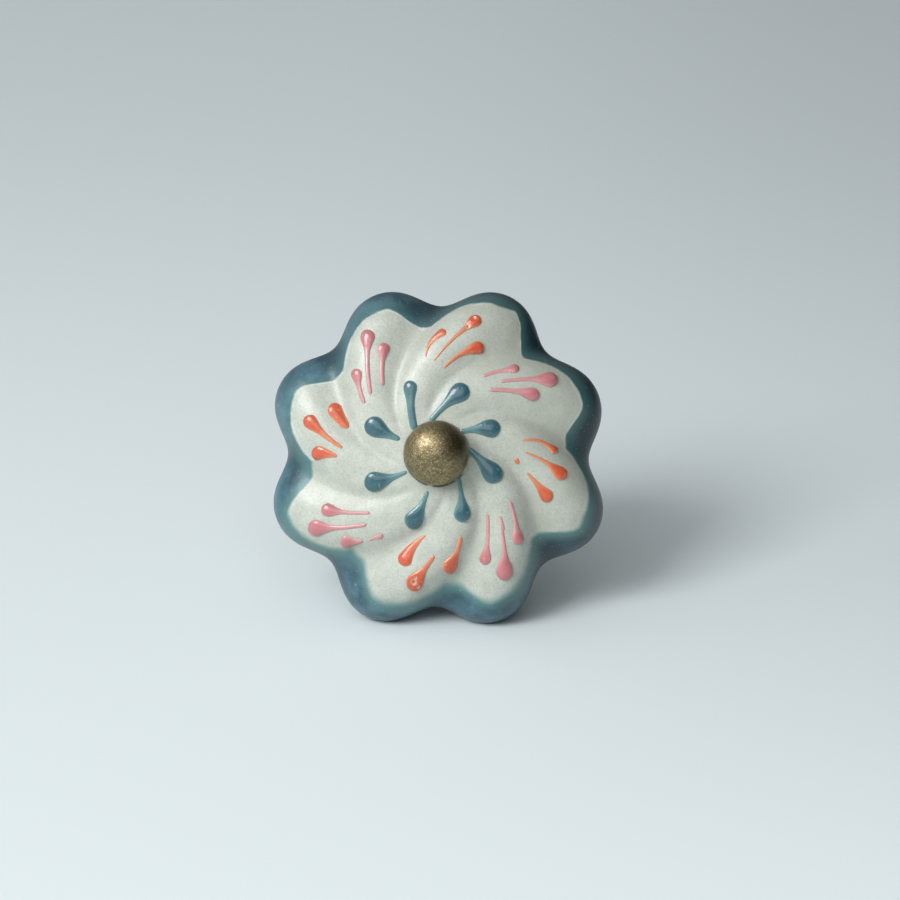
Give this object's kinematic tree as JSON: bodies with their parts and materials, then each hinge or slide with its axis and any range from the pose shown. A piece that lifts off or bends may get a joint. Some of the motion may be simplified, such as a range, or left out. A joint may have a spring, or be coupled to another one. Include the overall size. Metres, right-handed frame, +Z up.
{
  "type": "ceramic knob",
  "caption": "Flower-shaped ceramic cabinet knob with swirled petals, a waisted back and a round foot, clamped on a ball-headed brass bolt that goes through a drawer front.",
  "frame": {"origin": "on the knob's axis, at the face of the drawer front that the foot seats on", "axes": "+Y into the drawer front, along the bolt's thread; the knob's face looks along -Y; +Z up, through a groove between two petals"},
  "size_m": [0.0396, 0.0628, 0.0396],
  "materials": {
    "glazed_ceramic": "glossy hand-painted glaze, cream with a blue rim and raised drops of coloured slip",
    "antique_brass": "antique brass, mottled with dark patina",
    "zinc_steel": "bright zinc plate"
  },
  "bodies": {
    "root": {"ceramic_knob": "glazed_ceramic", "ball_head_bolt": "antique_brass", "retaining_washer": "zinc_steel", "retaining_nut": "zinc_steel"}
  },
  "joints": []
}
